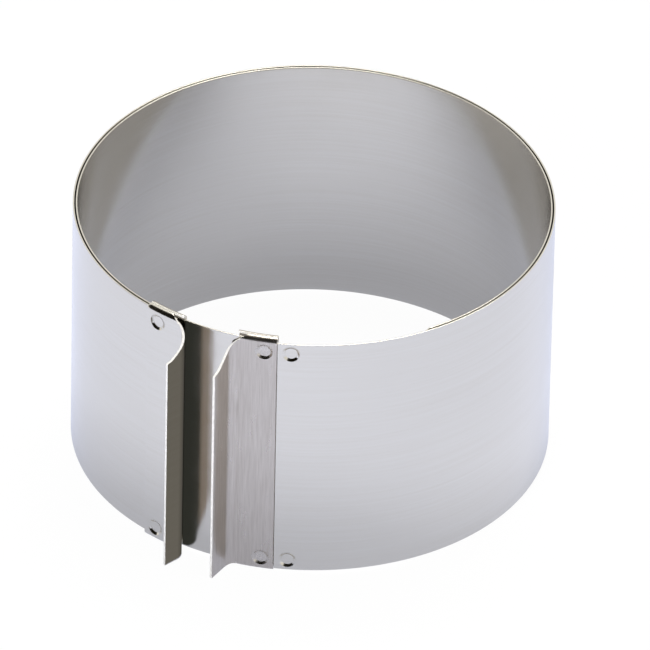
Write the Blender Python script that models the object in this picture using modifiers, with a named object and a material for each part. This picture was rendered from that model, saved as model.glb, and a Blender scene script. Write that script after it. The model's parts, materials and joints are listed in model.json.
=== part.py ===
"""An adjustable cake ring of spring steel, in metres, standing on the floor with its grips at -Y.

Two bands make the wall. The outer band starts at a butt seam beside the right grip plate and runs
right round to the left grip plate, which is riveted on its end. The inner band is riveted under
the seam and under the right grip plate, passes through the left plate's folded edges, and runs
round inside the outer band to a free end. Pulling the grips apart slides one band in the other.

The bands bend as they slide. Each is drawn as a row of short leaves with a fine slit between
them, and every leaf hangs on an empty that stands on its hinge line, so the row can open out.
Angles are counted from -Y, anticlockwise as seen from above.
"""

import math

import bmesh
import bpy
from mathutils import Matrix, Vector

MM = 0.001

# The two bands
BAND_HEIGHT = 91 * MM
BAND_THICKNESS = 0.5 * MM
BAND_GAP = 0.5 * MM  # between the faces of the two bands
OUTER_RADIUS = 79 * MM  # to the middle of the outer band's sheet
OUTER_LEAVES = 22
INNER_LEAVES = 22
LEAF_FACETS = 4
LEAF_SLIT = 0.3 * MM

# Where the bands and the plates start and end, as lengths along the outer band
GRIP_OPENING = 21 * MM  # from one plate's bend to the other's
SEAM_GAP = 0.3 * MM  # between the right plate's edge and the outer band's end
SEAM_OVERLAP = 11.5 * MM  # what the inner band runs on under the outer one, past the seam
OUTER_TUCK = 1.4 * MM  # from the outer band's other end to the left plate's bend
INNER_SHORTFALL = 43.5 * MM  # from the inner band's free end round to the seam

# The grip plates: a flat part on the band, folded edges above and below, and an upright wing
PLATE_THICKNESS = 0.8 * MM
PLATE_WIDTH = 12.8 * MM
PLATE_SEAT = 0.3 * MM  # between a plate and the band under it
PLATE_FACETS = 4
WING_BEND = 3.4 * MM  # radius to the middle of the sheet
WING_BEND_FACETS = 7
WING_FLAT = 6.4 * MM  # as it would be on a wing bent up square
WING_LEAN = math.radians(15)  # of both wings, from upright on the band towards the left
FOLD_BEND = 0.4 * MM  # radius inside the fold
FOLD_BEND_FACETS = 3
FOLD_EDGE_CLEARANCE = 0.4 * MM  # between the bands' edges and the inside of the fold
FOLD_LIP_CLEARANCE = 0.7 * MM  # between the inner band and the lip behind it
FOLD_LIP_REACH = 1.9 * MM  # what the lip hooks over the bands' edges
FOLD_RELIEF = 0.5 * MM  # the slit between a fold and the wing
CORNER_START = 9.3 * MM  # along the plate from its far edge to where the corner is cut
CORNER_DROP = 11.5 * MM
CORNER_STEPS = 20
CUT_SHAVE = 0.08 * MM  # what the corner's cutter is thicker than the plate, each side
CUT_OVERRUN = 3 * MM

# The rivets
RIVET_FROM_EDGE = 4.4 * MM  # from a band's end or a plate's edge
RIVET_FROM_RIM = 3.9 * MM  # from the bands' upper and lower edges
RIVET_SHANK_RADIUS = 1.6 * MM
RIVET_HEAD_RADIUS = 3.0 * MM
RIVET_HEAD_HEIGHT = 0.7 * MM
RIVET_FLAT_SHARE = 0.65  # of a head's or a tail's radius
RIVET_EDGE_SHARE = 0.5  # of its height
RIVET_TAIL_RADIUS = 2.6 * MM
RIVET_TAIL_HEIGHT = 0.6 * MM
RIVET_CLEARANCE = 0.15 * MM
RIVET_STEPS = 20
HOLE_OVERRUN = 4 * MM
HOLE_SIDES = 20

MERGE = 0.001 * MM
SHARP_ANGLE = math.radians(40)

# Radii to the middle of each sheet, from the ring's axis
INNER_RADIUS = OUTER_RADIUS - BAND_THICKNESS - BAND_GAP
PLATE_OFFSET = BAND_THICKNESS / 2 + PLATE_SEAT + PLATE_THICKNESS / 2
RIGHT_RADIUS = INNER_RADIUS + PLATE_OFFSET
LEFT_RADIUS = OUTER_RADIUS + PLATE_OFFSET
LIP_RADIUS = INNER_RADIUS - BAND_THICKNESS / 2 - FOLD_LIP_CLEARANCE - PLATE_THICKNESS / 2
FOLD_DEPTH = LEFT_RADIUS - LIP_RADIUS  # both plates are folded alike
WING_END = PLATE_WIDTH + WING_BEND * math.pi / 2 + WING_FLAT

# Heights above the floor, which the lower folds stand on
TOTAL_HEIGHT = BAND_HEIGHT + 2 * (FOLD_EDGE_CLEARANCE + PLATE_THICKNESS)
BAND_FOOT = PLATE_THICKNESS + FOLD_EDGE_CLEARANCE
BAND_TOP = BAND_FOOT + BAND_HEIGHT
FOLD_RADIUS = FOLD_BEND + PLATE_THICKNESS / 2
FOLD_START = TOTAL_HEIGHT - PLATE_THICKNESS / 2 - FOLD_RADIUS

# Angles round the ring's axis
BEND_ANGLE = GRIP_OPENING / 2 / OUTER_RADIUS
SEAM_ANGLE = BEND_ANGLE + PLATE_WIDTH / RIGHT_RADIUS + SEAM_GAP / OUTER_RADIUS
OUTER_END = 2 * math.pi - BEND_ANGLE - OUTER_TUCK / OUTER_RADIUS
INNER_START = SEAM_ANGLE + SEAM_OVERLAP / OUTER_RADIUS
INNER_ROOT_END = BEND_ANGLE - LEAF_SLIT / OUTER_RADIUS
INNER_END = SEAM_ANGLE + INNER_SHORTFALL / OUTER_RADIUS - 2 * math.pi

RIGHT = 1
LEFT = -1

# How far each wing is bent up, and where along the sheet its bend ends
WING_TURN = {side: math.pi / 2 - side * WING_LEAN for side in (LEFT, RIGHT)}
BEND_END = {side: PLATE_WIDTH + WING_BEND * WING_TURN[side] for side in (LEFT, RIGHT)}


def ring_spot(angle, radius):
    """A point seen from above, round the ring's axis."""
    return Vector((radius * math.sin(angle), -radius * math.cos(angle), 0))


def plate_spot(side, radius, along):
    """The middle of a grip plate's sheet seen from above, at a distance along it from its far edge."""
    if along <= PLATE_WIDTH:
        return ring_spot(side * (BEND_ANGLE + (PLATE_WIDTH - along) / radius), radius)
    outward = ring_spot(side * BEND_ANGLE, 1)
    inboard = Vector((side * outward.y, -side * outward.x, 0))
    turn = min((along - PLATE_WIDTH) / WING_BEND, WING_TURN[side])
    flat = max(along - BEND_END[side], 0)
    reach = radius + WING_BEND * (1 - math.cos(turn)) + flat * math.sin(turn)
    shift = WING_BEND * math.sin(turn) + flat * math.cos(turn)
    return outward * reach + inboard * shift


# The origin is under the middle of the ring and its wings, so the ring's axis lies behind it
FRONT_REACH = -plate_spot(LEFT, LEFT_RADIUS, WING_END).y
BACK_REACH = OUTER_RADIUS + BAND_THICKNESS / 2
RING_AXIS = Vector((0, (FRONT_REACH - BACK_REACH) / 2, 0))

UP = Vector((0, 0, 1))

places = {}


def clear_scene():
    """Empties the file, so that only the ring is left in it."""
    for thing in list(bpy.data.objects):
        bpy.data.objects.remove(thing, do_unlink=True)


def new_collection(name):
    """A collection under the scene."""
    collection = bpy.data.collections.new(name)
    bpy.context.scene.collection.children.link(collection)
    return collection


def steel(name, colour, roughness):
    """A bare stainless steel."""
    material = bpy.data.materials.new(name)
    material.use_nodes = True
    shader = material.node_tree.nodes["Principled BSDF"]
    shader.inputs["Base Color"].default_value = (*colour, 1)
    shader.inputs["Metallic"].default_value = 1
    shader.inputs["Roughness"].default_value = roughness
    return material


def pivot(name, spot, parent):
    """An empty that stands on a hinge line and hangs on the one before it."""
    empty = bpy.data.objects.new(name, None)
    ring.objects.link(empty)
    places[name] = spot
    if parent:
        empty.parent = parent
    empty.location = spot - (places[parent.name] if parent else Vector())
    return empty


def add_sheet(mesh, columns, rows, spot):
    """Adds an open sheet to a mesh: a grid whose corners go where spot puts each column and row."""
    across = len(columns) - 1
    along = len(rows) - 1
    grid = bmesh.ops.create_grid(mesh, x_segments=across, y_segments=along, size=1)
    for corner in grid["verts"]:
        column = columns[round((corner.co.x + 1) / 2 * across)]
        row = rows[round((corner.co.y + 1) / 2 * along)]
        corner.co = spot(column, row)


def sheet_object(name, mesh, thickness, material, carrier):
    """Gives an open sheet its thickness, half to each side, and hangs it on its carrier."""
    bmesh.ops.remove_doubles(mesh, verts=mesh.verts, dist=MERGE)
    bmesh.ops.recalc_face_normals(mesh, faces=mesh.faces)
    data = bpy.data.meshes.new(name)
    mesh.to_mesh(data)
    mesh.free()
    piece = bpy.data.objects.new(name, data)
    if carrier:
        smooth_faces(data)
        data.transform(Matrix.Translation(-places[carrier.name]))
        data.materials.append(material)
        piece.parent = carrier
        ring.objects.link(piece)
    else:
        cutters.objects.link(piece)
        hide_cutter(piece)
    wall = piece.modifiers.new("Wall", "SOLIDIFY")
    wall.thickness = thickness
    wall.offset = 0
    wall.use_even_offset = True
    return piece


def smooth_faces(data):
    """Shades a sheet smooth, with a sharp rim."""
    data.shade_smooth()
    data.set_sharp_from_angle(angle=SHARP_ANGLE)


def hide_cutter(cutter):
    """Keeps a cutter out of the renders and draws it as wire."""
    cutter.hide_render = True
    cutter.display_type = "WIRE"


def cut(piece, cutter):
    """Cuts one object's shape out of another."""
    hole = piece.modifiers.new("Cut", "BOOLEAN")
    hole.operation = "DIFFERENCE"
    hole.solver = "EXACT"
    hole.object = cutter


def spread(start, end, count):
    """Count equal steps from start to end."""
    return [start + (end - start) * step / count for step in range(count + 1)]


def band_leaf(name, radius, start, end, carrier):
    """One leaf of a band, between two angles."""
    sheet = bmesh.new()
    add_sheet(
        sheet,
        spread(start, end, LEAF_FACETS),
        [BAND_FOOT, BAND_TOP],
        lambda angle, height: RING_AXIS + ring_spot(angle, radius) + UP * height,
    )
    return sheet_object(name, sheet, BAND_THICKNESS, band_steel, carrier)


def band(name, radius, bounds, root):
    """A band as a row of leaves from the rooted one on, each hung on the hinge before it."""
    half_slit = math.copysign(LEAF_SLIT / 2 / OUTER_RADIUS, bounds[-1] - bounds[0])
    leaves = []
    carrier = root
    for number in range(1, len(bounds)):
        start = bounds[number - 1]
        end = bounds[number]
        if number > 1:
            hinge = RING_AXIS + ring_spot(start, radius)
            carrier = pivot(f"{name}_hinge_{number:02d}", hinge, carrier)
            start += half_slit
        if number < len(bounds) - 1:
            end -= half_slit
        leaves.append(band_leaf(f"{name}_{number:02d}", radius, start, end, carrier))
    return leaves


def fold_rows():
    """The upper fold in section, from the plate over to the lip: how far in it is, and how high."""
    rows = []
    for centre, first, last in (
        (FOLD_RADIUS, math.pi, math.pi / 2),
        (FOLD_DEPTH - FOLD_RADIUS, math.pi / 2, 0),
    ):
        for turn in spread(first, last, FOLD_BEND_FACETS):
            rows.append(
                (centre + FOLD_RADIUS * math.cos(turn), FOLD_START + FOLD_RADIUS * math.sin(turn))
            )
    rows.append((FOLD_DEPTH, BAND_TOP - FOLD_LIP_REACH))
    return rows


def grip_plate(name, side, radius, carrier):
    """A grip plate, folded from one sheet: the plate with its two folds, then the wing."""
    upper = fold_rows()
    lower = [(inset, TOTAL_HEIGHT - height) for inset, height in reversed(upper)]

    def spot(along, row):
        inset, height = row
        return RING_AXIS + plate_spot(side, radius, along) * (1 - inset / radius) + UP * height

    fold_columns = spread(0, PLATE_WIDTH - FOLD_RELIEF, PLATE_FACETS)
    bend_columns = spread(PLATE_WIDTH, BEND_END[side], WING_BEND_FACETS)
    wing_columns = [*bend_columns, WING_END]
    sheet = bmesh.new()
    add_sheet(sheet, fold_columns, lower + upper, spot)
    add_sheet(sheet, [fold_columns[-1], *wing_columns], [lower[-1], upper[0]], spot)
    add_sheet(sheet, wing_columns, [(0, 0), lower[-1]], spot)
    plate = sheet_object(name, sheet, PLATE_THICKNESS, plate_steel, carrier)
    cut(plate, corner_cutter(f"{name}_corner", side, radius))
    return plate


def corner_cutter(name, side, radius):
    """What is cut off a wing's upper corner, under an S-shaped line from the plate's top."""
    columns = spread(CORNER_START, WING_END, CORNER_STEPS)

    def spot(along, upper):
        share = min((along - CORNER_START) / (WING_END - CORNER_START), 1)
        drop = CORNER_DROP * share**2 * (3 - 2 * share)
        height = TOTAL_HEIGHT + CUT_OVERRUN if upper else TOTAL_HEIGHT - drop
        return RING_AXIS + plate_spot(side, radius, along) + UP * height

    sheet = bmesh.new()
    add_sheet(sheet, [*columns, WING_END + CUT_OVERRUN], [False, True], spot)
    return sheet_object(name, sheet, PLATE_THICKNESS + 2 * CUT_SHAVE, None, None)


def rivet_profile(outer_face, inner_face, tail):
    """Half of a rivet in section, from the top of its head down, as radii and distances out."""
    seat = outer_face + RIVET_CLEARANCE
    points = [
        (0, seat + RIVET_HEAD_HEIGHT),
        (RIVET_HEAD_RADIUS * RIVET_FLAT_SHARE, seat + RIVET_HEAD_HEIGHT),
        (RIVET_HEAD_RADIUS, seat + RIVET_HEAD_HEIGHT * RIVET_EDGE_SHARE),
        (RIVET_HEAD_RADIUS, seat),
        (RIVET_SHANK_RADIUS, seat),
    ]
    if not tail:
        return [*points, (RIVET_SHANK_RADIUS, inner_face), (0, inner_face)]
    under = inner_face - RIVET_CLEARANCE
    return [
        *points,
        (RIVET_SHANK_RADIUS, under),
        (RIVET_TAIL_RADIUS, under),
        (RIVET_TAIL_RADIUS, under - RIVET_TAIL_HEIGHT * RIVET_EDGE_SHARE),
        (RIVET_TAIL_RADIUS * RIVET_FLAT_SHARE, under - RIVET_TAIL_HEIGHT),
        (0, under - RIVET_TAIL_HEIGHT),
    ]


def turned(name, profile):
    """A solid of revolution about its own Z."""
    outline = bmesh.new()
    corners = [outline.verts.new((across, 0, height)) for across, height in profile]
    for first, second in zip(corners, corners[1:]):
        outline.edges.new((first, second))
    data = bpy.data.meshes.new(name)
    outline.to_mesh(data)
    outline.free()
    data.materials.append(rivet_steel)
    piece = bpy.data.objects.new(name, data)
    ring.objects.link(piece)
    spin = piece.modifiers.new("Spin", "SCREW")
    spin.steps = RIVET_STEPS
    spin.render_steps = RIVET_STEPS
    spin.use_merge_vertices = True
    spin.merge_threshold = MERGE
    spin.use_normal_calculate = False
    return piece


def rivet_hole(name, angle, height):
    """A radial cutter that goes through both bands and a plate."""
    hole = bmesh.new()
    bmesh.ops.create_cone(
        hole,
        cap_ends=True,
        segments=HOLE_SIDES,
        radius1=RIVET_SHANK_RADIUS + RIVET_CLEARANCE,
        radius2=RIVET_SHANK_RADIUS + RIVET_CLEARANCE,
        depth=2 * HOLE_OVERRUN,
    )
    data = bpy.data.meshes.new(name)
    hole.to_mesh(data)
    hole.free()
    cutter = bpy.data.objects.new(name, data)
    cutter.location = RING_AXIS + ring_spot(angle, OUTER_RADIUS) + UP * height
    cutter.rotation_euler = ring_spot(angle, 1).to_track_quat("Z", "X").to_euler()
    cutters.objects.link(cutter)
    hide_cutter(cutter)
    return cutter


def rivet_pair(name, angle, faces, tail, through, carrier):
    """Two rivets, near the bands' upper and lower edges, with a hole in each sheet they join."""
    heights = {"top": BAND_TOP - RIVET_FROM_RIM, "bottom": BAND_FOOT + RIVET_FROM_RIM}
    for end, height in heights.items():
        rivet = turned(f"{name}_{end}", rivet_profile(*faces, tail))
        rivet.parent = carrier
        spot = RING_AXIS + ring_spot(angle, 0) + UP * height
        rivet.location = spot - places[carrier.name]
        rivet.rotation_euler = ring_spot(angle, 1).to_track_quat("Z", "X").to_euler()
        cutter = rivet_hole(f"{name}_{end}_hole", angle, height)
        for sheet in through:
            cut(sheet, cutter)


clear_scene()
ring = new_collection("cake_ring")
cutters = new_collection("cutters")
band_steel = steel("band_steel", (0.62, 0.61, 0.63), 0.28)
plate_steel = steel("plate_steel", (0.52, 0.51, 0.5), 0.42)
rivet_steel = steel("rivet_steel", (0.55, 0.54, 0.53), 0.35)

root = pivot("ring_axis", RING_AXIS, None)
outer = band("outer_band", OUTER_RADIUS, spread(SEAM_ANGLE, OUTER_END, OUTER_LEAVES), root)
inner_bounds = [INNER_START, *spread(INNER_ROOT_END, INNER_END, INNER_LEAVES - 1)]
inner = band("inner_band", INNER_RADIUS, inner_bounds, root)
left_carrier = outer[-1].parent

right_plate = grip_plate("right_grip_plate", RIGHT, RIGHT_RADIUS, root)
left_plate = grip_plate("left_grip_plate", LEFT, LEFT_RADIUS, left_carrier)

half_band = BAND_THICKNESS / 2
half_plate = PLATE_THICKNESS / 2
rivet_step = RIVET_FROM_EDGE / OUTER_RADIUS
right_faces = (RIGHT_RADIUS + half_plate, INNER_RADIUS - half_band)
left_faces = (LEFT_RADIUS + half_plate, OUTER_RADIUS - half_band)
seam_faces = (OUTER_RADIUS + half_band, INNER_RADIUS - half_band)
rivet_pair(
    "right_rivet", SEAM_ANGLE - rivet_step, right_faces, True, [right_plate, inner[0]], root
)
rivet_pair("seam_rivet", SEAM_ANGLE + rivet_step, seam_faces, True, [outer[0], inner[0]], root)
left_edge = -BEND_ANGLE - PLATE_WIDTH / LEFT_RADIUS
rivet_pair(
    "left_rivet", left_edge + rivet_step, left_faces, False, [left_plate, outer[-1]], left_carrier
)
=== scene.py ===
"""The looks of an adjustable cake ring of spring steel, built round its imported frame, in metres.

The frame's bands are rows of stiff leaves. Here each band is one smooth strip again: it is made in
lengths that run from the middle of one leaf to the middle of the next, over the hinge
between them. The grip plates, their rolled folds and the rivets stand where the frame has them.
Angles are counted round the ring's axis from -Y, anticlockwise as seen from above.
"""

import json
import math

import bmesh
import bpy
from mathutils import Matrix, Vector, noise
from mathutils.geometry import intersect_line_line_2d


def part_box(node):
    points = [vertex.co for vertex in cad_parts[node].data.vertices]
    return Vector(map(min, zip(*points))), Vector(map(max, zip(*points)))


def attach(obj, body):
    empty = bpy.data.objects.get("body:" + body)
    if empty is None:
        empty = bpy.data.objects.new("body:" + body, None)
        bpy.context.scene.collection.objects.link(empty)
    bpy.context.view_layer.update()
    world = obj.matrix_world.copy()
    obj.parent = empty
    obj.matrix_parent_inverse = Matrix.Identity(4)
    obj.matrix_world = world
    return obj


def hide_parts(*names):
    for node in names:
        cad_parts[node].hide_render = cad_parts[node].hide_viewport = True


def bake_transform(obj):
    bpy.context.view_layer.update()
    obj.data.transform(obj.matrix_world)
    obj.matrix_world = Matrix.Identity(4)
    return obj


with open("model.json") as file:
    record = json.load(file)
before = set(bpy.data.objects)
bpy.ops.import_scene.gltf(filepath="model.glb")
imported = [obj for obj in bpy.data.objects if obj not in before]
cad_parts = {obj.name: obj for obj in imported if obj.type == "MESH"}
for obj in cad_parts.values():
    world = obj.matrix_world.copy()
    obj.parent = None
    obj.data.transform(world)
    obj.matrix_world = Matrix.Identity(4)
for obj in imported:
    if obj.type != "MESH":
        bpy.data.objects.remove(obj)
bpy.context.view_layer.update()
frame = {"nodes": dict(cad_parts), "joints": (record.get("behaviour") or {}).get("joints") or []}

MM = 0.001
QUARTER = math.pi / 2
UP = Vector((0, 0, 1))
RIGHT = 1
LEFT = -1

# The bands
BAND_THICKNESS = 0.5 * MM
BAND_STEPS = 24  # facets in each length
RIM_ROUND = 0.1 * MM
RIM_ROUND_STEPS = 3
RIM_SUPPORT = 0.6 * MM  # how far in from a rim the flat of the sheet starts
RIM_SINK = 0.8 * MM  # how far the inner band's ends sit below the outer band's rim
SEAM_SINK_REACH = 2.5 * MM  # how far under the right plate that starts
FREE_END_SINK_REACH = 7 * MM

# The grip plates, as lengths along the sheet from its far edge
PLATE_THICKNESS = 0.8 * MM
PLATE_WIDTH = 12.8 * MM
PLATE_SEAT = 0.3 * MM
PLATE_STEPS = 8
CORNER_START = 9.3 * MM
CORNER_DROP = 11.5 * MM
CORNER_STEPS = 6
FOLD_END = 12.3 * MM
FOLD_TONGUE = 1.2 * MM  # what the upper fold runs on past the lower one
FOLD_SLIT = 0.1 * MM  # between the lower fold and the wing
WING_BEND = 3.4 * MM
WING_BEND_STEPS = 14
WING_FLAT = 6.4 * MM  # as it would be on a wing bent up square
WING_FLAT_STEPS = 3
WING_FOOT_RISE = 0.88 * MM  # of the wing's foot beside the lower fold, where it is filed round
WING_LEAN = math.radians(15)  # of both wings, from upright on the band towards the left
FOLD_BEND = 1.0 * MM
FOLD_STEPS = 9
FOLD_LIP_CLEARANCE = 0.7 * MM
FOLD_LIP_REACH = 1.9 * MM
EDGE_ROUND = 0.1 * MM
EDGE_ROUND_STEPS = 2

# The rivets
HEAD_RADIUS = 2.05 * MM
HEAD_HEIGHT = 0.06 * MM
HEAD_EDGE = 0.04 * MM
HEAD_CROWN = 0.1 * MM
HEAD_SINK = 0.62 * MM  # how far a head sits in, as the press has dished the sheet round it
DISH_RADIUS = 2.8 * MM
DISH_FOOT = 0.07 * MM
DISH_ROUND = 0.08 * MM
DISH_RISE = 0.03 * MM
DISH_WALL = 0.1 * MM
DISH_SKIN = 0.06 * MM
DISH_EDGE_RADIUS = 3 * MM  # what of the dish lies over the sheet
DISH_EDGE_RISE = 0.02 * MM
DISH_HOLE_RADIUS = 2.93 * MM
TAIL_RADIUS = 2.6 * MM
TAIL_HEIGHT = 0.6 * MM
SHANK_RADIUS = 1.6 * MM
RIVET_SEAT = 0.03 * MM
RIVET_TURN_STEPS = 64
RIVET_ROUND_STEPS = 5
HOLE_RADIUS = 1.7 * MM
HOLE_DEPTH = 8 * MM
HOLE_SIDES = 40
PEEN_LOBE_DEPTH = 0.12 * MM
PEEN_GRAIN = 1.1 * MM
PEEN_DENT = 0.09 * MM
PEEN_MIDDLE_SHARE = 0.2  # of the dent, at the middle of the head

MERGE = 0.002 * MM
SHARP_ANGLE = math.radians(45)
BEVEL_ANGLE = math.radians(50)

# The camera, and where the ring's middle stands in the photograph
IMAGE_SIDE = 650
FOCAL_PIXELS = 14950
SENSOR = 36
CAMERA_AZIMUTH = math.radians(24.95)
CAMERA_ELEVATION = math.radians(36)
CAMERA_ROLL = math.radians(1.21)
CAMERA_DISTANCE = 4936 * MM
FOCUS_HEIGHT = 40 * MM  # above the bands' foot
FOCUS_PIXEL = (311.7, 329.2)
CLIP_START = 100 * MM
CLIP_END = 100000 * MM

# The studio
FLOOR_SIZE = 3000 * MM
FLOOR_DROP = 0.05 * MM
FLOOR_WHITE = "#FFFFFF"
FLOOR_MIRRORED = "#E3E9FF"  # paper looks cooler in the steel
FLOOR_GLOW_SEEN = 0.97
FLOOR_GLOW_MIRRORED = 0.44
STUDIO_WHITE = "#FFFFFF"
STUDIO_UNLIT = "#1C1A16"
UNLIT_AZIMUTH = math.radians(-12)
UNLIT_ELEVATION = math.radians(42)
UNLIT_INNER = math.radians(50)
UNLIT_OUTER = math.radians(58)
WORLD_STRENGTH = 0.9
SOFTBOX_DISTANCE = 1500 * MM
SOFTBOX_SIZE = 700 * MM
SOFTBOXES = [
    # name, azimuth, elevation, power, whether the steel mirrors it
    ("back_softbox", math.radians(-168), math.radians(66), 12.5, True),
    ("front_softbox", math.radians(0), math.radians(30), 17, False),
]
# A card seen only in the steel, glowing in its own colours: painted shade, with painted light past the
# wing's edge, in the reflection between the grips
SHADE_CARD_AZIMUTH = math.radians(-9)
SHADE_CARD_REACH = 22 * MM  # past the wing's edge
SHADE_CARD_CLEARANCE = 0.2 * MM  # from the wing's face
PAINTED_SHADE_FADE = 3 * MM
SHADE_CARD_STEPS = 10
PAINTED_SHADE_NEAR = "#353735"
PAINTED_LIGHT_FAR = "#8B817B"
PAINTED_SHADE_BACK_ROOT = "#2A2823"
PAINTED_SHADE_BACK = "#73716E"

# The finishes. Lengths say how far a pattern runs before it changes, each way
NOISE_SPREAD = (0.3, 0.7)  # where most of the noise lies
NOISE_SCALE = 1  # its size comes from the lengths
STREAK_ROUGHNESS = 0.6
MIX_FIRST = 6  # sockets of a mix node that mixes colours
MIX_SECOND = 7
MIX_OUT = 2
STRIP_DARK = "#DBD5C7"
STRIP_LIGHT = "#DFDACD"
STRIP_ROUGHNESS = (0.13, 0.2)
ROLL_LINES = (60 * MM, 60 * MM, 0.5 * MM)  # drawn coarser than real ones, to show
ROLL_DETAIL = 3
ROLL_DEPTH = 0.0003 * MM
HANDLING_CLOUDS = (25 * MM, 25 * MM, 18 * MM)
CLOUD_DETAIL = 2
BRUSHED_DARK = "#BDB4A7"
BRUSHED_LIGHT = "#CFC7BB"
BRUSHED_ROUGHNESS = (0.26, 0.36)
BELT_SCRATCHES = (0.5 * MM, 0.5 * MM, 12 * MM)  # drawn coarser than real ones, to show
BELT_DETAIL = 4
BELT_DEPTH = 0.0006 * MM
BELT_PATCHES = (3 * MM, 3 * MM, 14 * MM)
SHEARED_DARK = "#DAD7D0"
SHEARED_LIGHT = "#F2EFE8"
SHEARED_ROUGHNESS = (0.8, 1.0)
SHEAR_TEAR = (0.6 * MM, 0.6 * MM, 1.5 * MM)
SHEAR_DEPTH = 0.005 * MM
RIVET_DARK = "#C6BFB3"
RIVET_LIGHT = "#D6CFC4"
PEENED_ROUGHNESS = (0.2, 0.32)
STRIKE_MARKS = (0.8 * MM, 0.8 * MM, 0.8 * MM)
STRIKE_DEPTH = 0.01 * MM
BYTE = 255
SRGB_KNEE = 0.04045
SRGB_SLOPE = 12.92
SRGB_OFFSET = 0.055
SRGB_POWER = 2.4


def angle_at(spot):
    """The angle of a point round the ring's axis."""
    return math.atan2(spot.x - AXIS.x, AXIS.y - spot.y)


def near(angle, other):
    """The same direction, as the turn that lies nearest to another angle."""
    return other + math.remainder(angle - other, math.tau)


def ring_spot(angle, radius):
    """A point round the ring's axis, seen from above, from the axis."""
    return Vector((radius * math.sin(angle), -radius * math.cos(angle), 0))


def centre_of(first, second, third):
    """The middle of the circle through three upright lines, seen from above."""
    sides = []
    for start, end in ((first, second), (second, third)):
        middle = (start + end) / 2
        across = (end - start).cross(UP)
        sides += [middle.to_2d(), (middle + across).to_2d()]
    return intersect_line_line_2d(*long_lines(sides)).to_3d()


def long_lines(points):
    """Two lines, each made long enough both ways to meet the other."""
    ends = []
    for start, end in (points[:2], points[2:]):
        reach = (end - start).normalized()
        ends += [start - reach, start + reach]
    return ends


def corners_of(node):
    """The corners of a frame solid."""
    return [corner.co for corner in frame["nodes"][node].data.vertices]


def middle_of(node):
    """The middle of a frame solid's corners."""
    corners = corners_of(node)
    return sum(corners, Vector()) / len(corners)


inner_joints = [joint for joint in frame["joints"] if joint["name"].startswith("inner")]
outer_joints = [joint for joint in frame["joints"] if joint not in inner_joints]
outer_hinges = [Vector(joint["pos_m"]) for joint in outer_joints]
inner_hinges = [Vector(joint["pos_m"]) for joint in inner_joints]

# Places that the frame gives
AXIS = centre_of(outer_hinges[0], outer_hinges[len(outer_hinges) // 2], outer_hinges[-1])
OUTER_RADIUS = (outer_hinges[0] - AXIS).to_2d().length
INNER_RADIUS = (inner_hinges[0] - AXIS).to_2d().length
BAND_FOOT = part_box("outer_band_01")[0].z
BAND_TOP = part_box("outer_band_01")[1].z
PLATE_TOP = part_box("right_grip_plate")[1].z

PLATE_OFFSET = BAND_THICKNESS / 2 + PLATE_SEAT + PLATE_THICKNESS / 2
RIGHT_RADIUS = INNER_RADIUS + PLATE_OFFSET
LEFT_RADIUS = OUTER_RADIUS + PLATE_OFFSET
LIP_RADIUS = INNER_RADIUS - BAND_THICKNESS / 2 - FOLD_LIP_CLEARANCE - PLATE_THICKNESS / 2
FOLD_DEPTH = LEFT_RADIUS - LIP_RADIUS
FOLD_RADIUS = FOLD_BEND + PLATE_THICKNESS / 2
FOLD_START = PLATE_TOP - PLATE_THICKNESS / 2 - FOLD_RADIUS
FOLD_FOOT = PLATE_TOP - FOLD_START
WING_END = PLATE_WIDTH + WING_BEND * QUARTER + WING_FLAT
WING_TURN = {side: QUARTER - side * WING_LEAN for side in (LEFT, RIGHT)}
BEND_END = {side: PLATE_WIDTH + WING_BEND * WING_TURN[side] for side in (LEFT, RIGHT)}

SEAM_ANGLE = min(near(angle_at(corner), 0) for corner in corners_of("outer_band_01"))
RIGHT_EDGE = max(near(angle_at(corner), 0) for corner in corners_of("right_grip_plate"))
BEND_ANGLE = RIGHT_EDGE - PLATE_WIDTH / RIGHT_RADIUS


def as_object(name, mesh):
    """Turns a finished bmesh into an object in the scene."""
    data = bpy.data.meshes.new(name)
    mesh.to_mesh(data)
    mesh.free()
    piece = bpy.data.objects.new(name, data)
    bpy.context.scene.collection.objects.link(piece)
    return piece


def settle(piece, *finishes):
    """Puts a piece's modifiers into its mesh, shades it smooth and adds its finishes."""
    evaluated = piece.evaluated_get(bpy.context.evaluated_depsgraph_get())
    data = bpy.data.meshes.new_from_object(evaluated)
    piece.modifiers.clear()
    piece.data = data
    data.shade_smooth()
    data.set_sharp_from_angle(angle=SHARP_ANGLE)
    for finish in finishes:
        data.materials.append(finish)
    return piece


def stand(x_axis, y_axis, z_axis, place):
    """A transform from three directions and a place."""
    turn = Matrix((x_axis, y_axis, z_axis)).transposed().to_4x4()
    return Matrix.Translation(place) @ turn


def band_length(name, radius, start, end):
    """One length of a band: its rounded section, spun round the ring's axis."""
    band = bmesh.new()
    bmesh.ops.create_grid(band, x_segments=1, y_segments=3, size=1)
    ends = [corner for corner in band.verts if len(corner.link_edges) == 2]
    half_height = (BAND_TOP - BAND_FOOT) / 2
    for corner in band.verts:
        level = half_height if corner in ends else half_height - RIM_SUPPORT
        corner.co = (
            corner.co.x * BAND_THICKNESS / 2,
            math.copysign(level, corner.co.y),
            0,
        )
    bmesh.ops.bevel(
        band,
        geom=ends,
        offset=RIM_ROUND,
        segments=RIM_ROUND_STEPS,
        profile=0.5,
        affect="VERTICES",
        material=-1,
    )
    outward = ring_spot(start, 1)
    middle = AXIS + outward * radius + UP * (BAND_FOOT + half_height)
    bmesh.ops.transform(band, matrix=stand(outward, UP, outward.cross(UP), middle), verts=band.verts)
    bmesh.ops.spin(
        band,
        geom=band.verts[:] + band.edges[:] + band.faces[:],
        cent=AXIS,
        axis=UP,
        angle=end - start,
        steps=BAND_STEPS,
    )
    bmesh.ops.recalc_face_normals(band, faces=band.faces)
    return as_object(name, band)


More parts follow.
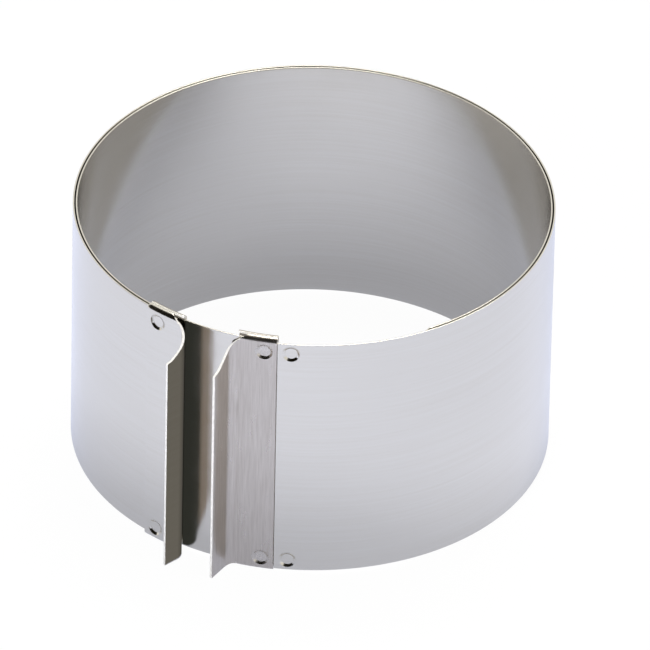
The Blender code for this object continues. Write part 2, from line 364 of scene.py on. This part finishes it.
def sink_rim(length, start, end):
    """Lowers a band's upper rim between two angles, where it is pressed in under the other's rim."""
    for corner in length.data.vertices:
        if corner.co.z > (BAND_FOOT + BAND_TOP) / 2 and start < near(angle_at(corner.co), 0) < end:
            corner.co.z -= RIM_SINK


def drill(piece, angle, radius):
    """Cuts the rivets' holes through a sheet."""
    for height in rivet_heights:
        hole = bmesh.new()
        bmesh.ops.create_cone(
            hole,
            cap_ends=True,
            segments=HOLE_SIDES,
            radius1=radius,
            radius2=radius,
            depth=HOLE_DEPTH,
        )
        outward = ring_spot(angle, 1)
        middle = AXIS + outward * OUTER_RADIUS + UP * height
        place = stand(UP.cross(outward), UP, outward, middle)
        bmesh.ops.transform(hole, matrix=place, verts=hole.verts)
        cutter = as_object("hole", hole)
        cut = piece.modifiers.new("Hole", "BOOLEAN")
        cut.object = cutter
        cut.solver = "EXACT"
        evaluated = piece.evaluated_get(bpy.context.evaluated_depsgraph_get())
        piece.data = bpy.data.meshes.new_from_object(evaluated)
        piece.modifiers.clear()
        bpy.data.objects.remove(cutter)
    return piece


def build_band(name, radius, joints, hinges, drilled, sunk):
    """A whole band, as lengths that each run over one hinge.

    Drilled gives the rivets' holes, as a length's number, an angle and a radius. Sunk gives the
    arcs where the rim is pressed in.
    """
    turns = [angle_at(hinges[0])]
    for hinge in hinges[1:]:
        turns.append(near(angle_at(hinge), turns[-1]))
    middles = [(first + second) / 2 for first, second in zip(turns, turns[1:])]
    half_leaf = (turns[1] - turns[0]) / 2
    way = math.copysign(1, half_leaf)
    nodes = [f"{name}_{number:02d}" for number in range(1, len(hinges) + 2)]
    first_turns = [near(angle_at(corner), turns[0]) for corner in corners_of(nodes[0])]
    last_turns = [near(angle_at(corner), turns[-1]) for corner in corners_of(nodes[-1])]
    start = min(first_turns) if way > 0 else max(first_turns)
    end = max(last_turns) if way > 0 else min(last_turns)
    stations = [start, *middles, end]
    for number, joint in enumerate(joints):
        length = band_length(f"{name}_length_{number + 1:02d}", radius, *stations[number : number + 2])
        for arc in sunk:
            sink_rim(length, *arc)
        for place, angle, hole_radius in drilled:
            if number == place % len(joints):
                drill(length, angle, hole_radius)
        settle(length, strip_finish)
        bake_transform(length)
        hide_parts(*(nodes[:2] if number == 0 else nodes[number + 1 : number + 2]))


def plate_spot(side, radius, along):
    """The middle of a grip plate's sheet seen from above, at a length from its far edge."""
    if along <= PLATE_WIDTH:
        return ring_spot(side * (BEND_ANGLE + (PLATE_WIDTH - along) / radius), radius)
    outward = ring_spot(side * BEND_ANGLE, 1)
    inboard = Vector((side * outward.y, -side * outward.x, 0))
    turn = min((along - PLATE_WIDTH) / WING_BEND, WING_TURN[side])
    flat = max(along - BEND_END[side], 0)
    reach = radius + WING_BEND * (1 - math.cos(turn)) + flat * math.sin(turn)
    shift = WING_BEND * math.sin(turn) + flat * math.cos(turn)
    return outward * reach + inboard * shift


def tongue_spot(side, radius, along):
    """The same for the upper fold, which stays on the ring's curve where it is cut free."""
    return ring_spot(side * (BEND_ANGLE + (PLATE_WIDTH - along) / radius), radius)


def spread(start, end, count):
    """Count equal steps from start to end."""
    return [start + (end - start) * step / count for step in range(count + 1)]


def cut_height(along):
    """How high the sheet stands under the S-shaped cut of the wing's upper corner."""
    share = max(along - CORNER_START, 0) / (WING_END - CORNER_START)
    return PLATE_TOP - PLATE_THICKNESS / 2 - CORNER_DROP * share**2 * (3 - 2 * share)


def add_sheet(mesh, columns, rows, spot):
    """Adds an open sheet: a grid whose corners go where spot puts each column and row."""
    across = len(columns) - 1
    along = len(rows) - 1
    grid = bmesh.ops.create_grid(mesh, x_segments=across, y_segments=along, size=1)
    for corner in grid["verts"]:
        column = columns[round((corner.co.x + 1) / 2 * across)]
        row = rows[round((corner.co.y + 1) / 2 * along)]
        corner.co = spot(column, row)


def fold_section():
    """The upper fold in section, as its two bends: how far in they go, and how far up."""
    first = [
        (FOLD_RADIUS * (1 + math.cos(turn)), FOLD_RADIUS * math.sin(turn))
        for turn in spread(math.pi, QUARTER, FOLD_STEPS)
    ]
    second = [(FOLD_DEPTH - inset, rise) for inset, rise in reversed(first)]
    return first, [*second, (FOLD_DEPTH, BAND_TOP - FOLD_LIP_REACH - FOLD_START)]


def grip_plate(name, side, radius):
    """A grip plate, folded from one sheet: the flat part with its folds, then the bent wing."""
    outer_bend, inner_bend = fold_section()

    def upper_spot(along, row):
        inset, rise = row
        flat = tongue_spot(side, radius, along)
        return AXIS + flat * (1 - inset / radius) + UP * (FOLD_START + rise)

    def lower_spot(along, row):
        inset, rise = row
        flat = plate_spot(side, radius, along)
        return AXIS + flat * (1 - inset / radius) + UP * (FOLD_FOOT - rise)

    def front_spot(along, row):
        at_top, offset = row
        level = min(FOLD_START, cut_height(along)) if at_top else FOLD_FOOT
        return AXIS + plate_spot(side, radius, along) + UP * (level + offset)

    def shoulder_spot(along, row):
        rise = min(row[1], max(cut_height(along) - FOLD_START, 0))
        turn = math.asin(min(rise / FOLD_RADIUS, 1))
        inset = FOLD_RADIUS * (1 - math.cos(turn))
        height = min(FOLD_START + rise, cut_height(along))
        return AXIS + plate_spot(side, radius, along) * (1 - inset / radius) + UP * height

    def foot_spot(along, standing):
        share = (along - FOLD_END) / (BEND_END[side] - FOLD_END)
        rise = WING_FOOT_RISE * (1 + math.cos(math.pi * min(share, 1))) / 2
        return AXIS + plate_spot(side, radius, along) + UP * (rise if standing else FOLD_FOOT)

    plate_columns = spread(0, CORNER_START, PLATE_STEPS)
    corner_columns = spread(CORNER_START, FOLD_END, CORNER_STEPS)
    front_columns = [*plate_columns, *corner_columns[1:]]
    tongue_columns = [*front_columns, FOLD_END + FOLD_TONGUE]
    bend_columns = spread(PLATE_WIDTH, BEND_END[side], WING_BEND_STEPS)
    flat_columns = spread(BEND_END[side], WING_END, WING_FLAT_STEPS)
    wing_columns = [FOLD_END + FOLD_SLIT, *bend_columns, *flat_columns[1:]]
    front_rows = [(False, 0), (False, RIM_SUPPORT), (True, -RIM_SUPPORT), (True, 0)]
    sheet = bmesh.new()
    add_sheet(sheet, tongue_columns, inner_bend, upper_spot)
    add_sheet(sheet, front_columns, [*outer_bend, *inner_bend], lower_spot)
    add_sheet(sheet, [*front_columns, *wing_columns], front_rows, front_spot)
    add_sheet(sheet, front_columns, outer_bend, shoulder_spot)
    add_sheet(sheet, wing_columns, [True, False], foot_spot)
    bmesh.ops.remove_doubles(sheet, verts=sheet.verts, dist=MERGE)
    bmesh.ops.recalc_face_normals(sheet, faces=sheet.faces)
    plate = as_object(name, sheet)
    wall = plate.modifiers.new("Wall", "SOLIDIFY")
    wall.thickness = PLATE_THICKNESS
    wall.offset = 0
    wall.use_even_offset = True
    wall.material_offset_rim = 1
    edge = plate.modifiers.new("Edge", "BEVEL")
    edge.width = EDGE_ROUND
    edge.segments = EDGE_ROUND_STEPS
    edge.limit_method = "ANGLE"
    edge.angle_limit = BEVEL_ANGLE
    return plate


def head_profile(radius, height, seat):
    """Half of a rivet's head in section, from its crown out and over its edge."""
    edge = [
        (radius - HEAD_EDGE * (1 - math.sin(turn)), seat + height - HEAD_EDGE * (1 - math.cos(turn)))
        for turn in spread(0, QUARTER, RIVET_ROUND_STEPS)
    ]
    return [(0, seat + height + HEAD_CROWN), *edge]


def dish_profile(face):
    """The dish round a head in section: up to the sheet's face, over the hole's edge and back below."""
    floor = face - HEAD_SINK
    return [
        (HEAD_RADIUS, floor),
        (HEAD_RADIUS + DISH_FOOT, floor + DISH_RISE),
        (DISH_RADIUS, face - DISH_RISE),
        (DISH_RADIUS + DISH_ROUND, face + DISH_RISE),
        (DISH_EDGE_RADIUS, face + DISH_EDGE_RISE),
        (DISH_EDGE_RADIUS, face + DISH_EDGE_RISE - DISH_SKIN),
        (DISH_RADIUS + DISH_WALL, face - DISH_ROUND),
        (HEAD_RADIUS + DISH_FOOT - DISH_SKIN, floor - DISH_WALL),
        (SHANK_RADIUS, floor - DISH_WALL),
    ]


def rivet(name, node, outer_face, inner_face, tail, peened):
    """A rivet through two sheets and the dish that it sits in, turned about a radial line."""
    middle = middle_of(node)
    profile = head_profile(HEAD_RADIUS, HEAD_HEIGHT, outer_face - HEAD_SINK)
    profile += dish_profile(outer_face)
    if tail:
        under = RIVET_SEAT - inner_face
        end = [(SHANK_RADIUS, under), (TAIL_RADIUS, under)]
        end += reversed(head_profile(TAIL_RADIUS, TAIL_HEIGHT - HEAD_CROWN, under))
        profile += [(across, -depth) for across, depth in end]
    else:
        profile += [(SHANK_RADIUS, inner_face), (0, inner_face)]
    turned = bmesh.new()
    corners = [turned.verts.new((across, 0, rise)) for across, rise in profile]
    for first, second in zip(corners, corners[1:]):
        turned.edges.new((first, second))
    bmesh.ops.spin(
        turned,
        geom=turned.verts[:] + turned.edges[:],
        cent=(0, 0, 0),
        axis=UP,
        angle=math.tau,
        steps=RIVET_TURN_STEPS,
        use_merge=True,
    )
    bmesh.ops.remove_doubles(turned, verts=turned.verts, dist=MERGE)
    bmesh.ops.recalc_face_normals(turned, faces=turned.faces)
    if peened:
        hammer(turned, outer_face - HEAD_SINK)
    angle = angle_at(middle)
    outward = ring_spot(angle, 1)
    place = stand(UP.cross(outward), UP, outward, AXIS + UP * middle.z)
    bmesh.ops.transform(turned, matrix=place, verts=turned.verts)
    return as_object(name, turned)


def hammer(turned, face):
    """Dents a rivet's head and wavers its rim, as a hammer leaves it."""
    for corner in turned.verts:
        across = corner.co.to_2d().length / HEAD_RADIUS
        if corner.co.z > face and across < 1:
            waver = noise.noise(corner.co / PEEN_GRAIN)
            depth = PEEN_DENT * (abs(waver) + max(waver, 0))
            corner.co.z -= depth * min(across + PEEN_MIDDLE_SHARE, 1)
            corner.co.xy *= 1 - PEEN_LOBE_DEPTH / HEAD_RADIUS * (1 + waver) * across


def linear(hex_colour):
    """A colour written as sRGB hex, as linear values."""
    levels = [level / BYTE for level in bytes.fromhex(hex_colour[1:])]
    low = [level / SRGB_SLOPE for level in levels]
    high = [((level + SRGB_OFFSET) / (1 + SRGB_OFFSET)) ** SRGB_POWER for level in levels]
    return [low[i] if levels[i] <= SRGB_KNEE else high[i] for i in range(len(levels))] + [1]


def add_node(tree, kind, settings=None, links=None):
    """Adds a node, sets its properties and input values, and links its inputs."""
    node = tree.nodes.new(kind)
    for name, value in (settings or {}).items():
        if isinstance(name, str) and hasattr(node, name):
            setattr(node, name, value)
        else:
            node.inputs[name].default_value = value
    for name, source in (links or {}).items():
        tree.links.new(source, node.inputs[name])
    return node


def new_material(name):
    """An empty node material and its nodes."""
    material = bpy.data.materials.new(name)
    material.use_nodes = True
    material.node_tree.nodes.clear()
    return material, material.node_tree


def streaks(tree, lengths, detail, turn):
    """Noise drawn out along some directions, from its size each way."""
    place = add_node(tree, "ShaderNodeTexCoord")
    turned = add_node(
        tree,
        "ShaderNodeMapping",
        {"Rotation": (0, 0, turn)},
        {"Vector": place.outputs["Object"]},
    )
    drawn = add_node(
        tree,
        "ShaderNodeMapping",
        {"Scale": [1 / length for length in lengths]},
        {"Vector": turned.outputs["Vector"]},
    )
    noise_node = add_node(
        tree,
        "ShaderNodeTexNoise",
        {"Scale": NOISE_SCALE, "Detail": detail, "Roughness": STREAK_ROUGHNESS},
        {"Vector": drawn.outputs["Vector"]},
    )
    return noise_node.outputs["Fac"]


def worked_steel(name, colours, roughness_range, grain, patches, dent, turn=0, sheen=1):
    """Bare stainless steel as its working leaves it.

    The grain changes its tone and dents it by a depth, and the patches change how sharply it
    mirrors. Grain and patches are each a size three ways and a detail. Sheen is 1 where the
    steel mirrors and 0 where it only scatters.
    """
    material, tree = new_material(name)
    marks = streaks(tree, *grain, turn)
    dulling = streaks(tree, *patches, turn)
    low, high = NOISE_SPREAD
    tone = add_node(
        tree,
        "ShaderNodeMapRange",
        {"From Min": low, "From Max": high},
        {"Value": marks},
    )
    dark, light = colours
    colour = add_node(
        tree,
        "ShaderNodeMix",
        {"data_type": "RGBA", MIX_FIRST: linear(dark), MIX_SECOND: linear(light)},
        {"Factor": tone.outputs["Result"]},
    )
    clear, dull = roughness_range
    roughness = add_node(
        tree,
        "ShaderNodeMapRange",
        {"From Min": low, "From Max": high, "To Min": clear, "To Max": dull},
        {"Value": dulling},
    )
    dents = add_node(tree, "ShaderNodeBump", {"Distance": dent}, {"Height": marks})
    shader = add_node(
        tree,
        "ShaderNodeBsdfPrincipled",
        {"Metallic": sheen},
        {
            "Base Color": colour.outputs[MIX_OUT],
            "Roughness": roughness.outputs["Result"],
            "Normal": dents.outputs["Normal"],
        },
    )
    add_node(tree, "ShaderNodeOutputMaterial", {}, {"Surface": shader.outputs["BSDF"]})
    return material


def rolled_stainless(name):
    """Cold rolled 18/10 stainless strip, skin-passed between polished rolls.

    It gives soft but clear reflections, with faint lines along the strip from the rolls and
    slow clouds where hands have dulled it.
    """
    colours = (STRIP_DARK, STRIP_LIGHT)
    grain = (ROLL_LINES, ROLL_DETAIL)
    clouds = (HANDLING_CLOUDS, CLOUD_DETAIL)
    return worked_steel(name, colours, STRIP_ROUGHNESS, grain, clouds, ROLL_DEPTH)


def brushed_stainless(name, turn):
    """Stainless sheet brushed upright with a belt, which leaves it greyer and more matt.

    Long light and dark scratches run up it, with a few patches where the belt bit deeper.
    """
    colours = (BRUSHED_DARK, BRUSHED_LIGHT)
    grain = (BELT_SCRATCHES, BELT_DETAIL)
    patches = (BELT_PATCHES, CLOUD_DETAIL)
    return worked_steel(name, colours, BRUSHED_ROUGHNESS, grain, patches, BELT_DEPTH, turn)


def sheared_edge(name):
    """The cut edge of stainless sheet, torn so rough by the shears that it scatters like chalk.

    It gives the white lines along the grips' outlines.
    """
    colours = (SHEARED_DARK, SHEARED_LIGHT)
    tear = (SHEAR_TEAR, CLOUD_DETAIL)
    return worked_steel(name, colours, SHEARED_ROUGHNESS, tear, tear, SHEAR_DEPTH, sheen=0)


def peened_stainless(name):
    """Stainless wire upset into a rivet and hammered over, which leaves it grey and dented."""
    colours = (RIVET_DARK, RIVET_LIGHT)
    marks = (STRIKE_MARKS, ROLL_DETAIL)
    return worked_steel(name, colours, PEENED_ROUGHNESS, marks, marks, STRIKE_DEPTH)


def paper_floor():
    """A sweep of matt white paper.

    It glows a little to a direct or mirrored look, and so is white without more light on the
    ring, while the shadow on it stays.
    """
    material, tree = new_material("white_paper_sweep")
    path = add_node(tree, "ShaderNodeLightPath")
    share = add_node(
        tree,
        "ShaderNodeMapRange",
        {"To Min": FLOOR_GLOW_MIRRORED, "To Max": FLOOR_GLOW_SEEN},
        {"Value": path.outputs["Is Camera Ray"]},
    )
    shown = add_node(
        tree,
        "ShaderNodeMath",
        {"operation": "MAXIMUM"},
        {0: path.outputs["Is Camera Ray"], 1: path.outputs["Is Glossy Ray"]},
    )
    glowing = add_node(
        tree,
        "ShaderNodeMath",
        {"operation": "MULTIPLY"},
        {0: share.outputs["Result"], 1: shown.outputs["Value"]},
    )
    hue = add_node(
        tree,
        "ShaderNodeMix",
        {"data_type": "RGBA", MIX_FIRST: linear(FLOOR_MIRRORED), MIX_SECOND: linear(FLOOR_WHITE)},
        {"Factor": path.outputs["Is Camera Ray"]},
    )
    paper = add_node(tree, "ShaderNodeBsdfDiffuse", {}, {"Color": hue.outputs[MIX_OUT]})
    glow = add_node(tree, "ShaderNodeEmission", {}, {"Color": hue.outputs[MIX_OUT]})
    mixed = add_node(
        tree,
        "ShaderNodeMixShader",
        {},
        {0: glowing.outputs["Value"], 1: paper.outputs["BSDF"], 2: glow.outputs["Emission"]},
    )
    add_node(tree, "ShaderNodeOutputMaterial", {}, {"Surface": mixed.outputs["Shader"]})
    return material


def build_floor():
    """The floor that the ring stands on."""
    floor = bmesh.new()
    bmesh.ops.create_grid(floor, x_segments=1, y_segments=1, size=FLOOR_SIZE / 2)
    bmesh.ops.translate(floor, vec=-UP * FLOOR_DROP, verts=floor.verts)
    piece = as_object("floor", floor)
    piece.data.materials.append(paper_floor())


def heading(azimuth, elevation):
    """A direction from the ring, turned from -Y towards +X and raised above the floor."""
    return Vector(
        (
            math.sin(azimuth) * math.cos(elevation),
            -math.cos(azimuth) * math.cos(elevation),
            math.sin(elevation),
        )
    )


def build_world():
    """A white studio whose near side, over and behind the photographer, is unlit."""
    world = bpy.data.worlds.new("studio")
    bpy.context.scene.world = world
    world.use_nodes = True
    tree = world.node_tree
    tree.nodes.clear()
    place = add_node(tree, "ShaderNodeTexCoord")
    facing = add_node(
        tree,
        "ShaderNodeVectorMath",
        {"operation": "DOT_PRODUCT", 1: heading(UNLIT_AZIMUTH, UNLIT_ELEVATION)},
        {0: place.outputs["Generated"]},
    )
    share = add_node(
        tree,
        "ShaderNodeMapRange",
        {
            "interpolation_type": "SMOOTHSTEP",
            "From Min": math.cos(UNLIT_OUTER),
            "From Max": math.cos(UNLIT_INNER),
        },
        {"Value": facing.outputs["Value"]},
    )
    hue = add_node(
        tree,
        "ShaderNodeMix",
        {"data_type": "RGBA", MIX_FIRST: linear(STUDIO_WHITE), MIX_SECOND: linear(STUDIO_UNLIT)},
        {"Factor": share.outputs["Result"]},
    )
    path = add_node(tree, "ShaderNodeLightPath")
    seen = add_node(
        tree,
        "ShaderNodeMix",
        {"data_type": "RGBA", MIX_SECOND: linear(FLOOR_WHITE)},
        {"Factor": path.outputs["Is Camera Ray"], MIX_FIRST: hue.outputs[MIX_OUT]},
    )
    back = add_node(
        tree, "ShaderNodeBackground", {"Strength": WORLD_STRENGTH}, {"Color": seen.outputs[MIX_OUT]}
    )
    add_node(tree, "ShaderNodeOutputWorld", {}, {"Surface": back.outputs["Background"]})


def painted_shade_card(way, root, bend_end, wing_end):
    """Glowing card that shows only in the steel on both its sides: painted shade in the reflection
    of the gap between the grips.

    Its front is black, with painted light that grows past the wing's edge. Its back, towards the
    wing, is brown painted shade, darkest where the wing bends out.
    """
    material, tree = new_material("painted_shade_card_glow")
    place = add_node(tree, "ShaderNodeTexCoord")
    along = add_node(
        tree,
        "ShaderNodeVectorMath",
        {"operation": "DOT_PRODUCT", 1: way},
        {0: place.outputs["Object"]},
    )
    hues = []
    for near_hue, far_hue, begin, end in (
        (PAINTED_SHADE_NEAR, PAINTED_LIGHT_FAR, wing_end, wing_end + way * PAINTED_SHADE_FADE),
        (PAINTED_SHADE_BACK_ROOT, PAINTED_SHADE_BACK, root, bend_end),
    ):
        share = add_node(
            tree,
            "ShaderNodeMapRange",
            {"From Min": begin.dot(way), "From Max": end.dot(way)},
            {"Value": along.outputs["Value"]},
        )
        hue = add_node(
            tree,
            "ShaderNodeMix",
            {"data_type": "RGBA", MIX_FIRST: linear(near_hue), MIX_SECOND: linear(far_hue)},
            {"Factor": share.outputs["Result"]},
        )
        hues.append(hue.outputs[MIX_OUT])
    face = add_node(tree, "ShaderNodeNewGeometry")
    hue = add_node(
        tree,
        "ShaderNodeMix",
        {"data_type": "RGBA"},
        {"Factor": face.outputs["Backfacing"], MIX_FIRST: hues[0], MIX_SECOND: hues[1]},
    )
    glow = add_node(tree, "ShaderNodeEmission", {}, {"Color": hue.outputs[MIX_OUT]})
    add_node(tree, "ShaderNodeOutputMaterial", {}, {"Surface": glow.outputs["Emission"]})
    return material


def build_painted_shade_card():
    """The glowing card that paints shade into the steel's reflection of the gap between the grips,
    upright along the left wing and past it.
    """
    bend = spread(PLATE_WIDTH, BEND_END[LEFT], SHADE_CARD_STEPS)
    sheet = [AXIS + plate_spot(LEFT, LEFT_RADIUS, along) for along in (*bend, WING_END)]
    offset = PLATE_THICKNESS / 2 + SHADE_CARD_CLEARANCE
    edges = []
    for number in range(1, len(sheet)):
        aside = UP.cross(sheet[number] - sheet[number - 1]).normalized()
        edges.append(sheet[number] + aside * offset)
    way = heading(SHADE_CARD_AZIMUTH, 0)
    edges.append(edges[-1] + way * SHADE_CARD_REACH)
    card = bmesh.new()
    add_sheet(card, edges, [PLATE_TOP, 0], lambda edge, height: edge + UP * height)
    piece = as_object("painted_shade_card", card)
    piece.data.materials.append(painted_shade_card(way, edges[0], edges[SHADE_CARD_STEPS - 1], edges[-2]))
    piece.visible_camera = False
    piece.visible_diffuse = False
    piece.visible_shadow = False
    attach(piece, "left_grip_side")


def build_softbox(name, azimuth, elevation, power, mirrored):
    """A square soft lamp that looks at the ring."""
    data = bpy.data.lights.new(name, "AREA")
    data.shape = "SQUARE"
    data.size = SOFTBOX_SIZE
    data.energy = power
    lamp = bpy.data.objects.new(name, data)
    lamp.visible_glossy = mirrored
    bpy.context.scene.collection.objects.link(lamp)
    way = heading(azimuth, elevation)
    lamp.location = way * SOFTBOX_DISTANCE
    lamp.rotation_euler = way.to_track_quat("Z", "Y").to_euler()


def build_camera():
    """The photograph's camera: its place, and the roll that the picture has."""
    backward = heading(CAMERA_AZIMUTH, CAMERA_ELEVATION)
    level = UP.cross(backward).normalized()
    steep = backward.cross(level)
    across = level * math.cos(CAMERA_ROLL) + steep * math.sin(CAMERA_ROLL)
    upward = steep * math.cos(CAMERA_ROLL) - level * math.sin(CAMERA_ROLL)
    pixel = CAMERA_DISTANCE / FOCAL_PIXELS
    column, row = FOCUS_PIXEL
    middle = AXIS + UP * (BAND_FOOT + FOCUS_HEIGHT)
    middle += across * (IMAGE_SIDE / 2 - column) * pixel
    middle -= upward * (IMAGE_SIDE / 2 - row) * pixel
    data = bpy.data.cameras.new("camera")
    data.sensor_width = SENSOR
    data.lens = FOCAL_PIXELS / IMAGE_SIDE * SENSOR
    data.clip_start = CLIP_START
    data.clip_end = CLIP_END
    camera = bpy.data.objects.new("camera", data)
    bpy.context.scene.collection.objects.link(camera)
    camera.matrix_world = stand(across, upward, backward, middle + backward * CAMERA_DISTANCE)
    bpy.context.scene.camera = camera


strip_finish = rolled_stainless("rolled_stainless_strip")
right_finish = brushed_stainless("brushed_stainless_right", BEND_ANGLE)
edge_finish = sheared_edge("sheared_stainless_edge")
peened_finish = peened_stainless("peened_stainless_rivet")

right_angle = angle_at(middle_of("right_rivet_top"))
seam_angle = angle_at(middle_of("seam_rivet_top"))
left_angle = angle_at(middle_of("left_rivet_top"))
rivet_heights = [middle_of("right_rivet_top").z, middle_of("right_rivet_bottom").z]

inner_start = max(near(angle_at(corner), SEAM_ANGLE) for corner in corners_of("inner_band_01"))
inner_end = min(near(angle_at(corner), inner_start) for corner in corners_of("inner_band_22"))
seam_sink = (SEAM_ANGLE - SEAM_SINK_REACH / INNER_RADIUS, inner_start + MERGE)
free_end_sink = (inner_end - MERGE, inner_end + FREE_END_SINK_REACH / INNER_RADIUS)

build_band(
    "outer_band",
    OUTER_RADIUS,
    outer_joints,
    outer_hinges,
    [(0, seam_angle, DISH_HOLE_RADIUS), (-1, left_angle, HOLE_RADIUS)],
    [],
)
build_band(
    "inner_band",
    INNER_RADIUS,
    inner_joints,
    inner_hinges,
    [(0, right_angle, HOLE_RADIUS), (0, seam_angle, HOLE_RADIUS)],
    [seam_sink, free_end_sink],
)

half_plate = PLATE_THICKNESS / 2
half_band = BAND_THICKNESS / 2
for word, side, radius, angle, finish in (
    ("right", RIGHT, RIGHT_RADIUS, right_angle, right_finish),
    ("left", LEFT, LEFT_RADIUS, left_angle, strip_finish),
):
    plate = grip_plate(f"{word}_plate", side, radius)
    plate.data.materials.append(finish)
    plate.data.materials.append(edge_finish)
    settle(plate)
    drill(plate, angle, DISH_HOLE_RADIUS)
    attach(plate, f"{word}_grip_side")
    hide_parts(f"{word}_grip_plate")

rivet_kinds = {
    "right": (RIGHT_RADIUS + half_plate, INNER_RADIUS - half_band, True, "right_grip_side"),
    "seam": (OUTER_RADIUS + half_band, INNER_RADIUS - half_band, True, "right_grip_side"),
    "left": (LEFT_RADIUS + half_plate, OUTER_RADIUS - half_band, False, "left_grip_side"),
}
for word, (outer_face, inner_face, tail, body) in rivet_kinds.items():
    for end in ("top", "bottom"):
        node = f"{word}_rivet_{end}"
        peened = word == "right"
        piece = rivet(f"{node}_turned", node, outer_face, inner_face, tail, peened)
        settle(piece, peened_finish if peened else strip_finish)
        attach(piece, body)
        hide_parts(node)

build_floor()
# the card of painted shade, seen only in the steel between the grips
build_painted_shade_card()
build_world()
for lamp in SOFTBOXES:
    build_softbox(*lamp)
build_camera()
bpy.context.scene.view_settings.view_transform = "Standard"
